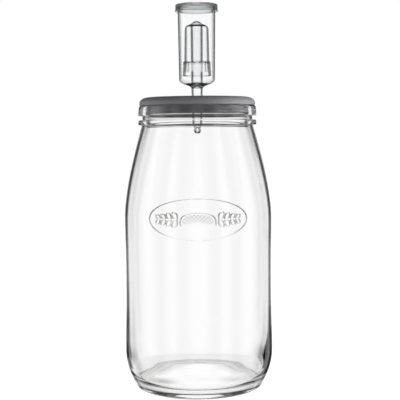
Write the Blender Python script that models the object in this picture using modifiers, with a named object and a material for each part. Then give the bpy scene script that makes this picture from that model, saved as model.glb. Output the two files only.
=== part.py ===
"""A three litre fermentation jar: a glass jar, a silicone lid and a clear three-piece airlock.

Everything is turned about the Z axis. The jar stands on z = 0, lengths are in metres, and every
height in this file is measured from the surface that the jar stands on.
"""

import math

import bmesh
import bpy

PART_NAME = "pickling_jar"

# Clearances and steps shared by all pieces
FIT_GAP = 0.0003
MERGE_DISTANCE = 0.00001
LARGE_STEPS = 48
SMALL_STEPS = 32
SHARP_EDGE_ANGLE = math.radians(35)

# The glass jar, from its foot to its rim
JAR_HEIGHT = 0.2639
BEARING_RADIUS = 0.0599
BEARING_WIDTH = 0.0045
FOOT_ROUND = 0.0010
PUNT_HEIGHT = 0.0024
BODY_RADIUS = 0.0698
HEEL_HEIGHT = 0.0340
WAIST_DEPTH = 0.0010
UPPER_RIDGE_DROP = 0.0005
SHOULDER_HEIGHT = 0.0831
NECK_RADIUS = 0.05245
NECK_HEIGHT = 0.0010
BEAD_RADIUS = 0.0554
BEAD_HEIGHT = 0.0047
BEAD_ROUND = 0.0007
GROOVE_RADIUS = 0.0516
GROOVE_HEIGHT = 0.0037
GROOVE_ROUND = 0.0009
RIM_RADIUS = 0.0556
RIM_HEIGHT = 0.0096
RIM_DRAFT = 0.0007
RIM_ROUND = 0.0016
RIM_FOOT_ROUND = 0.0008
WALL = 0.0018
BASE_THICKNESS = 0.0050
FLOOR_CROWN = 0.0015
FLOOR_EDGE_RADIUS = 0.0470
NECK_WALL = 0.0026
INNER_HEEL_HEIGHT = 0.0440
INNER_SHOULDER_DROP = 0.0010

# Where the curves of the jar's outline bend, as shares of the stretch that they cross
WAIST_HEIGHT_SHARES = (0.36, 0.73)
RIDGE_HEIGHT_SHARE = 0.97
SHOULDER_RISE_SHARES = (0.0, 0.35, 0.90, 1.0)
SHOULDER_INSET_SHARES = (0.0, 0.05, 0.86, 1.0)
INNER_HEEL_REACH_SHARES = (0.0, 0.65, 0.98, 1.0)
INNER_HEEL_RISE_SHARES = (0.0, 0.0, 0.23, 1.0)
PUNT_SHARES = (0.92, 0.70, 0.40)

# The silicone lid: a thick cover on the rim, and a ribbed plug inside the mouth
LID_RADIUS = 0.0542
LID_COVER_HEIGHT = 0.0077
LID_CORNER_WIDTH = 0.0090
LID_CORNER_HEIGHT = 0.0055
LID_CROWN = 0.0004
LID_EDGE_ROUND = 0.0006
PLUG_DEPTH = 0.0082
PLUG_WALL = 0.0060
RIB_COUNT = 2
RIB_HEIGHT = 0.0012
RIB_POINTS = 4
LID_WEB = 0.0050
BOSS_RADIUS = 0.0095
BOSS_DEPTH = 0.0060

# The airlock's body: stem, cup and inner tube in one moulding
STANDOFF = 0.0088
STEM_LENGTH = 0.0360
STEM_ROOT_RADIUS = 0.0054
STEM_END_RADIUS = 0.0045
STEM_WALL = 0.0010
STEM_FILLET = 0.0014
TIP_LENGTH = 0.0069
NUB_RADIUS = 0.0034
WAIST_RADIUS = 0.0023
TIP_CHANNEL_RADIUS = 0.0018
CONE_RADIUS = 0.0136
CONE_RISE = 0.0032
CUP_FLOOR_RISE = 0.0024
CUP_CORNER_RISE = 0.0050
CUP_CORNER_ROUND = 0.0020
CUP_BASE_RADIUS = 0.0168
CUP_RIM_RADIUS = 0.0176
CUP_WALL = 0.0010
CUP_RIM_ROUND = 0.0004
TUBE_HEIGHT = 0.0576
TUBE_BASE_RADIUS = 0.0054
TUBE_TOP_RADIUS = 0.0057
TUBE_WALL = 0.0010

# The float: a bell that hangs over the inner tube
FLOAT_SIDE_CLEARANCE = 0.0025
FLOAT_CORNER_CLEARANCE = 0.0052
FLOAT_HEADROOM = 0.0121
FLOAT_WALL = 0.0008
FLOAT_CONE_RISE = 0.0057
FLOAT_ROUND = 0.0030
FLOAT_TAPER = 0.0005
SKIRT_HEIGHT = 0.0138
SKIRT_LEDGE = 0.0011
SKIRT_FLARE = 0.0005
FLUTE_COUNT = 12
FLUTE_RADIUS = 0.0011
FLUTE_DEPTH = 0.0004
FLUTE_MARGIN = 0.0035
FLUTE_SIDES = 8

# The cap that closes the cup
CAP_WALL = 0.00175
CAP_TOP_THICKNESS = 0.0013
CAP_SKIRT_DEPTH = 0.0038
CAP_RECESS_DEPTH = 0.0012
CAP_SEAT_WIDTH = 0.0021
CAP_LIP_REACH = 0.0006
CAP_LIP_HEIGHT = 0.0007
CAP_ROUND = 0.0009
VENT_COUNT = 8
VENT_RADIUS = 0.0008
VENT_CIRCLE_RADIUS = 0.0100
VENT_SIDES = 12
CUT_OVERRUN = 0.0010

# Heights that follow from the sizes above
RIM_BOTTOM = JAR_HEIGHT - RIM_HEIGHT
BEAD_TOP = RIM_BOTTOM - GROOVE_HEIGHT
BEAD_BOTTOM = BEAD_TOP - BEAD_HEIGHT
SHOULDER_END = BEAD_BOTTOM - NECK_HEIGHT
SHOULDER_START = SHOULDER_END - SHOULDER_HEIGHT
BORE_RADIUS = GROOVE_RADIUS - NECK_WALL
SIDE_RADIUS = BODY_RADIUS - WAIST_DEPTH
LID_SEAT = JAR_HEIGHT + FIT_GAP
LID_TOP = LID_SEAT + LID_COVER_HEIGHT
STEM_ROOT = LID_TOP + LID_CROWN + STANDOFF
STEM_END = STEM_ROOT - STEM_LENGTH
CUP_CORNER = STEM_ROOT + CUP_CORNER_RISE
CUP_FLOOR = STEM_ROOT + CUP_FLOOR_RISE
TUBE_TOP = STEM_ROOT + TUBE_HEIGHT
FLOAT_RADIUS = CUP_BASE_RADIUS - CUP_WALL - FLOAT_SIDE_CLEARANCE
BELL_RADIUS = FLOAT_RADIUS - SKIRT_FLARE - SKIRT_LEDGE
BELL_TOP_RADIUS = BELL_RADIUS - FLOAT_TAPER
CONE_SLOPE = FLOAT_CONE_RISE / BELL_TOP_RADIUS
CONE_THICKNESS = FLOAT_WALL * math.hypot(1.0, CONE_SLOPE)
FLOAT_APEX = TUBE_TOP + FIT_GAP + CONE_THICKNESS + TUBE_TOP_RADIUS * CONE_SLOPE
FLOAT_BOTTOM = CUP_CORNER + FLOAT_CORNER_CLEARANCE
CUP_RIM = FLOAT_APEX + FLOAT_HEADROOM
CAP_SEAT = CUP_RIM + FIT_GAP
CAP_UNDERSIDE = CAP_SEAT + CAP_RECESS_DEPTH
CAP_BORE_RADIUS = CUP_RIM_RADIUS + FIT_GAP


def between(start, end, share):
    """The value that lies this share of the way from start to end."""
    return start + (end - start) * share


def arc(centre, radii, start_degrees, end_degrees, steps):
    """Points of an elliptical arc about a centre, with 0 degrees outwards and 90 degrees up."""
    points = []
    for step in range(steps + 1):
        angle = math.radians(between(start_degrees, end_degrees, step / steps))
        radius = centre[0] + radii[0] * math.cos(angle)
        height = centre[1] + radii[1] * math.sin(angle)
        points.append((radius, height))
    return points


def bend(controls, steps):
    """Points of the Bezier curve that has these control points."""
    degree = len(controls) - 1
    points = []
    for step in range(steps + 1):
        t = step / steps
        weights = [math.comb(degree, k) * t**k * (1 - t) ** (degree - k) for k in range(degree + 1)]
        radius = sum(weight * point[0] for weight, point in zip(weights, controls))
        height = sum(weight * point[1] for weight, point in zip(weights, controls))
        points.append((radius, height))
    return points


def shoulder(side_radius, neck_radius, start, steps):
    """The curve from the jar's side up to its neck, of the same kind for both faces of the glass."""
    controls = []
    for rise, inset in zip(SHOULDER_RISE_SHARES, SHOULDER_INSET_SHARES):
        radius = between(side_radius, neck_radius, inset)
        controls.append((radius, between(start, SHOULDER_END, rise)))
    return bend(controls, steps)


def stem_radius(height):
    """The stem's outer radius at a height: it tapers evenly from its root to its end."""
    return between(STEM_ROOT_RADIUS, STEM_END_RADIUS, (STEM_ROOT - height) / STEM_LENGTH)


def new_material(name, colour, roughness, transmission=0.0, ior=1.5):
    """A Principled material with the piece's own colour and gloss."""
    material = bpy.data.materials.new(name)
    material.use_nodes = True
    material.diffuse_color = (*colour, 1.0)
    shader = material.node_tree.nodes["Principled BSDF"]
    shader.inputs["Base Color"].default_value = (*colour, 1.0)
    shader.inputs["Roughness"].default_value = roughness
    shader.inputs["Metallic"].default_value = 0.0
    shader.inputs["Transmission Weight"].default_value = transmission
    shader.inputs["IOR"].default_value = ior
    return material


def turned(name, profile, steps, collection, material, parent=None, seat=0.0, closed=True):
    """A solid of revolution. The profile runs down its outer side, in (radius, height) pairs.

    The object's origin lies on the Z axis at the seat, the height at which the piece rests.
    """
    mesh = bpy.data.meshes.new(name)
    edges = [(index, index + 1) for index in range(len(profile) - 1)]
    if closed:
        edges.append((len(profile) - 1, 0))
    mesh.from_pydata([(radius, 0.0, height - seat) for radius, height in profile], edges, [])
    piece = bpy.data.objects.new(name, mesh)
    collection.objects.link(piece)
    piece.parent = parent
    piece.location.z = seat - (parent.matrix_world.translation.z if parent else 0.0)
    piece.data.materials.append(material)
    screw = piece.modifiers.new("Turn", "SCREW")
    screw.axis = "Z"
    screw.angle = math.tau
    screw.steps = steps
    screw.render_steps = steps
    screw.use_merge_vertices = True
    screw.merge_threshold = MERGE_DISTANCE
    bpy.context.view_layer.update()
    return piece


def made_mesh(piece):
    """Turns a piece's live modifiers into its mesh, and shades it smooth but for sharp edges."""
    graph = bpy.context.evaluated_depsgraph_get()
    mesh = bpy.data.meshes.new_from_object(piece.evaluated_get(graph))
    mesh.name = piece.name
    piece.modifiers.clear()
    piece.data = mesh
    mesh.shade_smooth()
    mesh.set_sharp_from_angle(angle=SHARP_EDGE_ANGLE)
    bpy.context.view_layer.update()
    return piece


def rod(builder, radius, sides, low, high, circle_radius, degrees):
    """Adds an upright rod to a cutter's mesh, at an angle on a circle about the Z axis."""
    made = bmesh.ops.create_cone(
        builder,
        cap_ends=True,
        segments=sides,
        radius1=radius,
        radius2=radius,
        depth=high - low,
    )
    turn = math.radians(degrees)
    place = (circle_radius * math.cos(turn), circle_radius * math.sin(turn), (low + high) / 2)
    bmesh.ops.translate(builder, verts=made["verts"], vec=place)


def cut_with_rods(piece, name, collection, rods):
    """Cuts upright rods, given as rod()'s values, out of a piece with one Boolean."""
    builder = bmesh.new()
    for values in rods:
        rod(builder, *values)
    mesh = bpy.data.meshes.new(name)
    builder.to_mesh(mesh)
    builder.free()
    cutter = bpy.data.objects.new(name, mesh)
    cutter.hide_render = True
    cutter.display_type = "WIRE"
    collection.objects.link(cutter)
    cut = piece.modifiers.new("Cut", "BOOLEAN")
    cut.operation = "DIFFERENCE"
    cut.solver = "EXACT"
    cut.object = cutter
    bpy.context.view_layer.update()
    return cutter


def glass_jar(collection):
    """A round jar with a rounded heel, a long sloping shoulder, a bead and a rim."""
    inner_side = SIDE_RADIUS - WALL
    rim_top_radius = RIM_RADIUS - RIM_DRAFT
    bearing_edge = BEARING_RADIUS - FOOT_ROUND
    punt_edge = bearing_edge - BEARING_WIDTH
    heel = []
    for reach, rise in zip(INNER_HEEL_REACH_SHARES, INNER_HEEL_RISE_SHARES):
        radius = between(FLOOR_EDGE_RADIUS, inner_side, reach)
        heel.append((radius, between(BASE_THICKNESS, INNER_HEEL_HEIGHT, rise)))

    inside = [(0.0, BASE_THICKNESS + FLOOR_CROWN)]
    inside += bend(heel, 8)
    inside += shoulder(inner_side, BORE_RADIUS, SHOULDER_START - INNER_SHOULDER_DROP, 8)

    groove_corner = GROOVE_RADIUS + GROOVE_ROUND
    bead_corner = BEAD_RADIUS - BEAD_ROUND
    rim = arc((BORE_RADIUS + RIM_ROUND, JAR_HEIGHT - RIM_ROUND), (RIM_ROUND, RIM_ROUND), 180, 90, 3)
    rim += arc((rim_top_radius - RIM_ROUND, JAR_HEIGHT - RIM_ROUND), (RIM_ROUND, RIM_ROUND), 90, 0, 3)
    rim += arc(
        (RIM_RADIUS - RIM_FOOT_ROUND, RIM_BOTTOM + RIM_FOOT_ROUND), (RIM_FOOT_ROUND, RIM_FOOT_ROUND), 0, -90, 2
    )
    rim += arc((groove_corner, RIM_BOTTOM - GROOVE_ROUND), (GROOVE_ROUND, GROOVE_ROUND), 90, 180, 2)
    rim += arc((groove_corner, BEAD_TOP + GROOVE_ROUND), (GROOVE_ROUND, GROOVE_ROUND), 180, 270, 2)
    rim += arc((bead_corner, BEAD_TOP - BEAD_ROUND), (BEAD_ROUND, BEAD_ROUND), 90, 0, 2)
    rim += arc((bead_corner, BEAD_BOTTOM + BEAD_ROUND), (BEAD_ROUND, BEAD_ROUND), 0, -90, 2)

    outside = shoulder(BODY_RADIUS - UPPER_RIDGE_DROP, NECK_RADIUS, SHOULDER_START, 10)[::-1]
    ridge = between(HEEL_HEIGHT, SHOULDER_START, RIDGE_HEIGHT_SHARE)
    outside.append((BODY_RADIUS - UPPER_RIDGE_DROP, ridge))
    for share in reversed(WAIST_HEIGHT_SHARES):
        outside.append((SIDE_RADIUS, between(HEEL_HEIGHT, SHOULDER_START, share)))
    outside += bend(
        [
            (BODY_RADIUS, HEEL_HEIGHT),
            (BODY_RADIUS, (HEEL_HEIGHT + FOOT_ROUND) / 2),
            (BEARING_RADIUS, FOOT_ROUND),
        ],
        7,
    )

    foot = [(bearing_edge, 0.0), (punt_edge, 0.0)]
    for share in PUNT_SHARES:
        foot.append((punt_edge * share, PUNT_HEIGHT * (1 - share**2)))
    foot.append((0.0, PUNT_HEIGHT))

    material = new_material("clear_glass", (0.94, 0.96, 0.95), 0.02, transmission=1.0, ior=1.52)
    profile = inside + rim + outside + foot
    return made_mesh(turned("glass_jar", profile, LARGE_STEPS, collection, material, closed=False))


def silicone_lid(collection, jar):
    """A soft cover that rests on the rim, with a ribbed plug below and a hole for the stem."""
    plug_radius = BORE_RADIUS - FIT_GAP
    plug_bottom = LID_SEAT - PLUG_DEPTH
    ceiling = LID_TOP - LID_WEB
    corner_radius = LID_RADIUS - LID_CORNER_WIDTH
    boss_bottom = ceiling - BOSS_DEPTH
    hole_top = LID_TOP + LID_CROWN
    recess_radius = plug_radius - PLUG_WALL

    profile = [(stem_radius(hole_top) + FIT_GAP, hole_top), (corner_radius / 2, LID_TOP + LID_CROWN * 3 / 4)]
    profile += arc(
        (corner_radius, LID_TOP - LID_CORNER_HEIGHT), (LID_CORNER_WIDTH, LID_CORNER_HEIGHT), 90, 0, 6
    )
    profile += arc(
        (LID_RADIUS - LID_EDGE_ROUND, LID_SEAT + LID_EDGE_ROUND), (LID_EDGE_ROUND, LID_EDGE_ROUND), 0, -90, 2
    )
    profile.append((plug_radius - RIB_HEIGHT, LID_SEAT))
    for step in range(1, RIB_COUNT * RIB_POINTS):
        swell = abs(math.sin(math.pi * step / RIB_POINTS))
        radius = plug_radius - RIB_HEIGHT * (1 - swell)
        profile.append((radius, between(LID_SEAT, plug_bottom, step / (RIB_COUNT * RIB_POINTS))))
    profile.append((plug_radius - RIB_HEIGHT, plug_bottom))
    profile += [(recess_radius, plug_bottom), (recess_radius, ceiling)]
    profile += [(BOSS_RADIUS, ceiling), (BOSS_RADIUS, boss_bottom)]
    profile.append((stem_radius(boss_bottom) + FIT_GAP, boss_bottom))

    material = new_material("grey_silicone", (0.15, 0.15, 0.155), 0.55)
    return made_mesh(turned("silicone_lid", profile, LARGE_STEPS, collection, material, jar, LID_SEAT))


def airlock_body(collection, lid):
    """The cup, the tube that stands inside it and the hollow stem below, as one moulding."""
    cone_height = STEM_ROOT + CONE_RISE
    inner_radius = CUP_BASE_RADIUS - CUP_WALL
    rim_middle = CUP_RIM_RADIUS - CUP_WALL / 2
    waist = STEM_END - TIP_LENGTH / 4
    nub = STEM_END - TIP_LENGTH * 3 / 5
    tip = STEM_END - TIP_LENGTH
    nub_reach = NUB_RADIUS * 2 - (WAIST_RADIUS + TIP_CHANNEL_RADIUS) / 2

    profile = arc((rim_middle, CUP_RIM - CUP_RIM_ROUND), (CUP_WALL / 2, CUP_RIM_ROUND), 90, 0, 2)
    profile += bend(
        [
            (CUP_BASE_RADIUS, CUP_CORNER + CUP_CORNER_ROUND),
            (CUP_BASE_RADIUS, CUP_CORNER),
            (CONE_RADIUS, cone_height),
        ],
        4,
    )
    profile += bend(
        [
            (STEM_ROOT_RADIUS + STEM_FILLET * 2, STEM_ROOT + STEM_FILLET),
            (STEM_ROOT_RADIUS, STEM_ROOT + STEM_FILLET / 4),
            (stem_radius(STEM_ROOT - STEM_FILLET), STEM_ROOT - STEM_FILLET),
        ],
        4,
    )
    profile += [(STEM_END_RADIUS, STEM_END), (WAIST_RADIUS, waist)]
    profile += bend([(WAIST_RADIUS, waist), (nub_reach, nub), (TIP_CHANNEL_RADIUS, tip)], 5)[1:]
    profile += [(TIP_CHANNEL_RADIUS, waist), (STEM_END_RADIUS - STEM_WALL, STEM_END)]
    profile.append((TUBE_BASE_RADIUS - TUBE_WALL, CUP_FLOOR))
    tube_middle = TUBE_TOP_RADIUS - TUBE_WALL / 2
    profile += arc((tube_middle, TUBE_TOP - TUBE_WALL / 2), (TUBE_WALL / 2, TUBE_WALL / 2), 180, 0, 4)
    profile.append((TUBE_BASE_RADIUS, CUP_FLOOR))
    profile += bend(
        [
            (CONE_RADIUS - CUP_WALL, cone_height + CUP_WALL * 2 / 3),
            (inner_radius, CUP_CORNER + CUP_WALL / 2),
            (inner_radius, CUP_CORNER + CUP_WALL / 2 + CUP_CORNER_ROUND),
        ],
        3,
    )
    profile.append((CUP_RIM_RADIUS - CUP_WALL, CUP_RIM - CUP_RIM_ROUND))

    material = new_material("clear_styrene", (0.93, 0.94, 0.95), 0.06, transmission=0.95, ior=1.57)
    return made_mesh(turned("airlock_body", profile, SMALL_STEPS, collection, material, lid, STEM_ROOT))


def airlock_float(collection, cutters, body):
    """A bell whose cone rests on the tube's end, with a fluted skirt at its foot."""
    shoulder_height = FLOAT_APEX - FLOAT_CONE_RISE
    ledge = FLOAT_BOTTOM + SKIRT_HEIGHT
    skirt_top_radius = FLOAT_RADIUS - SKIRT_FLARE
    inner_top = BELL_TOP_RADIUS - FLOAT_WALL

    profile = [(0.0, FLOAT_APEX)]
    profile += bend(
        [
            (BELL_TOP_RADIUS - FLOAT_ROUND, shoulder_height + FLOAT_ROUND * CONE_SLOPE),
            (BELL_TOP_RADIUS, shoulder_height),
            (BELL_TOP_RADIUS, shoulder_height - FLOAT_ROUND),
        ],
        4,
    )
    profile += [(BELL_RADIUS, ledge), (skirt_top_radius, ledge - SKIRT_LEDGE)]
    profile += [(FLOAT_RADIUS, FLOAT_BOTTOM), (FLOAT_RADIUS - FLOAT_WALL, FLOAT_BOTTOM)]
    profile += [(skirt_top_radius - FLOAT_WALL, ledge - SKIRT_LEDGE - FLOAT_WALL)]
    profile += [(BELL_RADIUS - FLOAT_WALL, ledge - FLOAT_WALL)]
    profile.append((inner_top, FLOAT_APEX - CONE_THICKNESS - inner_top * CONE_SLOPE))
    profile.append((0.0, FLOAT_APEX - CONE_THICKNESS))

    material = new_material("clear_float", (0.91, 0.92, 0.93), 0.08, transmission=0.9, ior=1.57)
    seat = TUBE_TOP + FIT_GAP
    piece = turned(
        "airlock_float", profile, SMALL_STEPS, collection, material, body, seat, closed=False
    )
    low = FLOAT_BOTTOM + FLUTE_MARGIN
    high = ledge - SKIRT_LEDGE
    circle = skirt_top_radius + FLUTE_RADIUS - FLUTE_DEPTH
    rods = []
    for index in range(FLUTE_COUNT):
        turn = 360 * (index + 0.5) / FLUTE_COUNT
        rods.append((FLUTE_RADIUS, FLUTE_SIDES, low, high, circle, turn))
    cut_with_rods(piece, "flute_cutter", cutters, rods)
    return made_mesh(piece)


def airlock_cap(collection, cutters, body):
    """A push-on cap with a lipped skirt and a ring of vents in its top."""
    outer = CAP_BORE_RADIUS + CAP_WALL
    bottom = CUP_RIM - CAP_SKIRT_DEPTH
    top = CAP_UNDERSIDE + CAP_TOP_THICKNESS
    recess = CUP_RIM_RADIUS - CAP_SEAT_WIDTH

    profile = [(0.0, top)]
    profile += arc((outer - CAP_ROUND, top - CAP_ROUND), (CAP_ROUND, CAP_ROUND), 90, 0, 3)
    profile += [(outer, bottom + CAP_LIP_HEIGHT * 2), (outer + CAP_LIP_REACH, bottom + CAP_LIP_HEIGHT)]
    profile += [(outer + CAP_LIP_REACH, bottom), (CAP_BORE_RADIUS, bottom)]
    profile += [(CAP_BORE_RADIUS, CAP_SEAT), (recess, CAP_SEAT)]
    profile += [(recess, CAP_UNDERSIDE), (0.0, CAP_UNDERSIDE)]

    material = new_material("clear_cap", (0.92, 0.93, 0.94), 0.07, transmission=0.92, ior=1.57)
    piece = turned("airlock_cap", profile, SMALL_STEPS, collection, material, body, CAP_SEAT, closed=False)
    rods = []
    for index in range(VENT_COUNT):
        turn = 360 * (index + 0.5) / VENT_COUNT
        low = CAP_UNDERSIDE - CUT_OVERRUN
        high = top + CUT_OVERRUN
        rods.append((VENT_RADIUS, VENT_SIDES, low, high, VENT_CIRCLE_RADIUS, turn))
    cut_with_rods(piece, "vent_cutter", cutters, rods)
    return made_mesh(piece)


def main():
    for found in list(bpy.data.objects):
        bpy.data.objects.remove(found, do_unlink=True)
    scene = bpy.context.scene
    collection = bpy.data.collections.new(PART_NAME)
    cutters = bpy.data.collections.new("cutters")
    scene.collection.children.link(collection)
    scene.collection.children.link(cutters)

    jar = glass_jar(collection)
    lid = silicone_lid(collection, jar)
    body = airlock_body(collection, lid)
    airlock_float(collection, cutters, body)
    airlock_cap(collection, cutters, body)
    print(f"height {CAP_UNDERSIDE + CAP_TOP_THICKNESS:.4f} m, diameter {2 * BODY_RADIUS:.4f} m")


main()
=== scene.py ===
# %% [markdown]
# # A fermentation jar with a soft lid and a clear airlock
#
# The object is a tall glass jar for pickling vegetables in brine. A grey silicone lid plugs its
# mouth, and a clear airlock stands in the lid, so that gas can leave and air can't come in.
# Five pieces are drawn here, each one a surface that is worked out with numpy: the jar, the lid,
# the airlock's body, the float inside it and its cap. Nearly all of them are turned shapes, so
# the main idea of this lesson is a profile that is carried round the upright axis.

import bmesh
import bpy
import numpy as np
from mathutils import Matrix, Vector


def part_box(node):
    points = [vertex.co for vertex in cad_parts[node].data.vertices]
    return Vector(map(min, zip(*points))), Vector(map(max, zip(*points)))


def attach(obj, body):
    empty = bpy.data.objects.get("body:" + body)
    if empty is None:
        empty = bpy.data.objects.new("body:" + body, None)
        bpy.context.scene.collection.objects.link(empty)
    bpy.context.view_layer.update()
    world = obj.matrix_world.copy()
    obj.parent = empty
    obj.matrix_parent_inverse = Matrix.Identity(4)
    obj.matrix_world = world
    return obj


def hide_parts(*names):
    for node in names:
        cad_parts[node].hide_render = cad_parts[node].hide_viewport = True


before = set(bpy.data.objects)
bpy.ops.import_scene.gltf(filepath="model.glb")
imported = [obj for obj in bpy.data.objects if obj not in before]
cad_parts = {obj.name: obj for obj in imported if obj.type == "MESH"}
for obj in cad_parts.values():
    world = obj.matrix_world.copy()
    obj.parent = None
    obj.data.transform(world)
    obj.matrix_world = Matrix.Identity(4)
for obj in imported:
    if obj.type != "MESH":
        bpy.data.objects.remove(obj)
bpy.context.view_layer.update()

MM = 0.001
for node in sorted(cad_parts):
    low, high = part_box(node)
    print(node, "from", round(low[2], 4), "to", round(high[2], 4), "m")

# %% [markdown]
# ## The camera first
#
# The photograph was taken with a long lens from a little above the lid, tilted down by about four
# degrees. A lens with a longer focal length shows the jar's sides almost parallel. The numbers
# below are the place and tilt at which the rim, the base and the airlock land where the
# photograph shows them. The whole picture leans by half a degree, so the camera rolls by it.

# %% The camera
CAMERA_DISTANCE = 0.9024
CAMERA_HEIGHT = 0.2440
CAMERA_ASIDE = 0.0019
CAMERA_PITCH_DEGREES = 4.361
CAMERA_ROLL_DEGREES = -0.46
LENS_MM = 86.15
SENSOR_MM = 36.0

camera_data = bpy.data.cameras.new("camera")
camera_data.lens = LENS_MM
camera_data.sensor_width = SENSOR_MM
camera = bpy.data.objects.new("camera", camera_data)
bpy.context.scene.collection.objects.link(camera)
tilt = Matrix.Rotation(np.radians(90 - CAMERA_PITCH_DEGREES), 4, "X")
roll = Matrix.Rotation(np.radians(CAMERA_ROLL_DEGREES), 4, "Z")
stand = Matrix.Translation((CAMERA_ASIDE, -CAMERA_DISTANCE, CAMERA_HEIGHT))
camera.matrix_world = stand @ tilt @ roll
bpy.context.scene.camera = camera
print("camera at", tuple(round(value, 4) for value in camera.location))

# %% [markdown]
# ## Curves for outlines
#
# Every outline here is a list of points in radius and height. A blown or moulded piece has few
# straight lines, so three small tools make the points: an arc, a Bezier curve that leans towards
# its control points, and a smooth curve through given points. The first two return two columns,
# the last one a radius for each height.

# %% Curve tools
SAME_PLACE = 1e-7


def arc(centre, radii, start_degrees, end_degrees, steps):
    """Elliptical arc: centre plus the radii times cosine (outwards) and sine (upwards) of even angles."""
    angle = np.radians(np.linspace(start_degrees, end_degrees, steps + 1))
    return np.column_stack([centre[0] + radii[0] * np.cos(angle), centre[1] + radii[1] * np.sin(angle)])


def bend(controls, steps):
    """Bezier curve: repeated linear mixing of neighbouring control points with the same share t."""
    t = np.linspace(0, 1, steps + 1)[:, None, None]
    points = np.broadcast_to(np.asarray(controls, float), (steps + 1, len(controls), 2))
    while points.shape[1] > 1:
        points = points[:, :-1] * (1 - t) + points[:, 1:] * t
    return points[:, 0]


def smooth_through(heights, values, wanted):
    """Cubic Hermite curve through the values, with the slope at each point taken from its neighbours."""
    heights, values = np.asarray(heights, float), np.asarray(values, float)
    slopes = np.gradient(values, heights)
    index = np.clip(np.searchsorted(heights, wanted) - 1, 0, len(heights) - 2)
    span = heights[index + 1] - heights[index]
    t = (wanted - heights[index]) / span
    start = values[index] * (2 * t**3 - 3 * t**2 + 1) + slopes[index] * span * (t**3 - 2 * t**2 + t)
    end = values[index + 1] * (3 * t**2 - 2 * t**3) + slopes[index + 1] * span * (t**3 - t**2)
    return start + end


def join(*stretches):
    """Stretches of an outline end to end, without the points that fall on each other."""
    points = np.concatenate(stretches)
    apart = np.hypot(*np.diff(points, axis=0).T) > SAME_PLACE
    return points[np.concatenate([[True], apart])]


# %% [markdown]
# ## From outline to mesh
#
# A turned surface is a grid: rows run along the outline and columns run round the axis. The
# outline runs down the outside of the piece, which makes the faces point outwards. Where it
# reaches the axis, a whole row of points falls together, so they are merged into one pole.

# %% Grid to mesh
SHARP_ANGLE = np.radians(50)


def grid_faces(rows, columns, steps):
    """Corner numbers of a grid's faces, with the columns closed round the axis."""
    row = np.arange(steps)[:, None]
    column = np.arange(columns)[None, :]
    below, right = (row + 1) % rows, (column + 1) % columns
    near = [row * columns + column, below * columns + column]
    far = [below * columns + right, row * columns + right]
    return np.stack(near + far, axis=-1).reshape(-1, 4)


def mesh_object(name, vertices, faces, merge):
    """A smooth object in the scene from vertices and faces, with its poles merged if it has any."""
    mesh = bpy.data.meshes.new(name)
    mesh.from_pydata(vertices, [], faces)
    if merge:
        builder = bmesh.new()
        builder.from_mesh(mesh)
        bmesh.ops.remove_doubles(builder, verts=builder.verts, dist=SAME_PLACE)
        builder.to_mesh(mesh)
        builder.free()
    mesh.shade_smooth()
    mesh.set_sharp_from_angle(angle=SHARP_ANGLE)
    piece = bpy.data.objects.new(name, mesh)
    bpy.context.scene.collection.objects.link(piece)
    return piece


def grid_object(name, points, closed_rows):
    """A mesh of one grid, whose rows run into a ring or end in poles on the axis."""
    rows, columns = points.shape[:2]
    faces = grid_faces(rows, columns, rows if closed_rows else rows - 1)
    return mesh_object(name, points.reshape(-1, 3), faces.tolist(), merge=not closed_rows)


def around(profile, angles, radius_change=None):
    """Turned grid: x and y are the radius times cosine and sine of the angle, z is the height."""
    radius = np.repeat(profile[:, :1], len(angles), axis=1)
    height = np.repeat(profile[:, 1:], len(angles), axis=1)
    if radius_change is not None:
        radius = radius + radius_change(radius, height, angles[None, :])
    return np.stack([radius * np.cos(angles), radius * np.sin(angles), height], axis=-1)


def finish_piece(piece, node, body, material):
    """Gives the piece its material, hides the solid that it stands for and hangs it on its body."""
    piece.data.materials.clear()
    piece.data.materials.append(material)
    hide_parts(node)
    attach(piece, body)
    piece.data.calc_loop_triangles()
    print(piece.name, len(piece.data.loop_triangles), "triangles")


# %% [markdown]
# ## The jar's outline
#
# The glass was blown into a mould. Its heel is a parabola, its side pulls in slightly between two
# ridges where jars touch each other in a crate, and one long curve makes the shoulder. The
# outside and the inside are separate curves, because blown glass isn't equally thick: it is
# thinnest on the side and thickest at the heel.

# %% The jar's sizes
JAR_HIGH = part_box("glass_jar")[1]
JAR_HEIGHT = JAR_HIGH[2]
BODY_RADIUS = JAR_HIGH[0]
BEARING_RADIUS = 59.9 * MM
FOOT_ROUND = 1.0 * MM
BEARING_WIDTH = 4.5 * MM
PUNT_HEIGHT = 2.4 * MM
HEEL_HEIGHT = 34.0 * MM
WAIST_DEPTH = 1.0 * MM
UPPER_RIDGE_DROP = 0.5 * MM
SIDE_HEIGHT_SHARES = (-0.05, 0.0, 0.36, 0.73, 0.97, 1.02)
RIM_HEIGHT = 9.6 * MM
GROOVE_HEIGHT = 3.7 * MM
BEAD_HEIGHT = 4.7 * MM
BEAD_ROUND = 0.7 * MM
GROOVE_ROUND = 0.9 * MM
NECK_HEIGHT = 1.0 * MM
SHOULDER_HEIGHT = 83.1 * MM
RIM_BOTTOM = JAR_HEIGHT - RIM_HEIGHT
BEAD_TOP = RIM_BOTTOM - GROOVE_HEIGHT
BEAD_BOTTOM = BEAD_TOP - BEAD_HEIGHT
SHOULDER_END = BEAD_BOTTOM - NECK_HEIGHT
SHOULDER_START = SHOULDER_END - SHOULDER_HEIGHT
NECK_RADIUS = 52.45 * MM
BEAD_RADIUS = 55.4 * MM
GROOVE_RADIUS = 51.6 * MM
RIM_RADIUS = 55.6 * MM
RIM_DRAFT = 0.7 * MM
RIM_ROUND = 1.6 * MM
RIM_FOOT_ROUND = 0.8 * MM
WALL = 1.8 * MM
INNER_SHOULDER_DROP = 1.0 * MM
NECK_WALL = 2.6 * MM
BORE_RADIUS = GROOVE_RADIUS - NECK_WALL
FLOOR_HEIGHT = 5.0 * MM
FLOOR_CROWN = 1.5 * MM
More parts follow.
